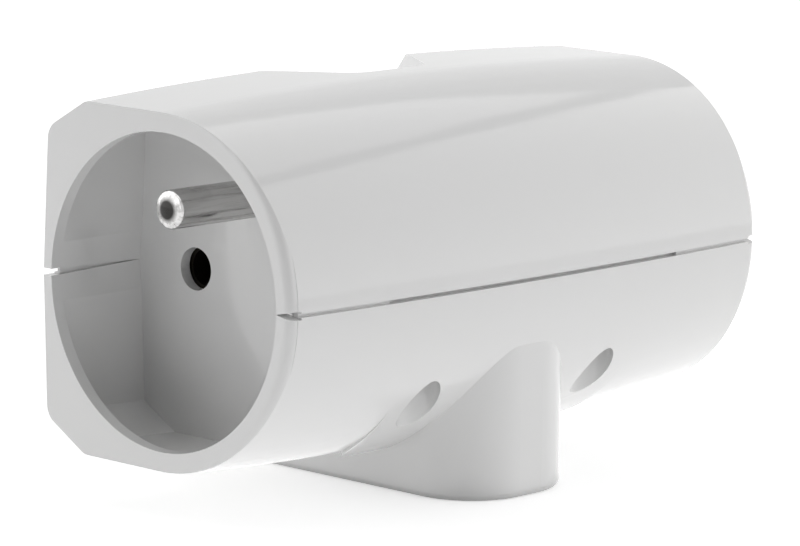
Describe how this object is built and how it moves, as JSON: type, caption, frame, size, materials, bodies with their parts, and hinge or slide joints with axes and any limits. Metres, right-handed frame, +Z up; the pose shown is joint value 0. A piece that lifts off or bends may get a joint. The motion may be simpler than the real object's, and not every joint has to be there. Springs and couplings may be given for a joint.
{
  "type": "multi socket adapter",
  "caption": "Tubular multi socket adapter with a recessed earthed socket in each end, a slim outlet below for a flat plug and a plug on its wall side.",
  "frame": {"origin": "middle of the slim outlet's underside, level with the sockets' axes in plan", "axes": "+X along the tube to the socket on the right, +Y towards the wall socket, +Z up to the finger recess"},
  "size_m": [0.086, 0.0782, 0.0511],
  "materials": {
    "white_case": "gloss",
    "nickelled_pin": "satin",
    "brass_contact": "satin",
    "steel_screw": "satin",
    "black_sleeve": "matte"
  },
  "bodies": {
    "root": {"upper_shell": "white_case", "lower_shell": "white_case", "plug_block": "white_case", "plug_pin_left": "nickelled_pin", "plug_pin_right": "nickelled_pin", "plug_earth_sleeve": "brass_contact", "earth_pin_left": "nickelled_pin", "earth_pin_right": "nickelled_pin", "earth_bar": "brass_contact", "wall_bar": "brass_contact", "front_bar": "brass_contact", "cross_strap": "brass_contact", "strap_sleeve": "black_sleeve", "clip_left_wall": "brass_contact", "clip_left_front": "brass_contact", "clip_right_wall": "brass_contact", "clip_right_front": "brass_contact", "outlet_clip_wall": "brass_contact", "outlet_clip_front": "brass_contact", "rivets": "brass_contact", "case_screws": "steel_screw"}
  },
  "joints": []
}
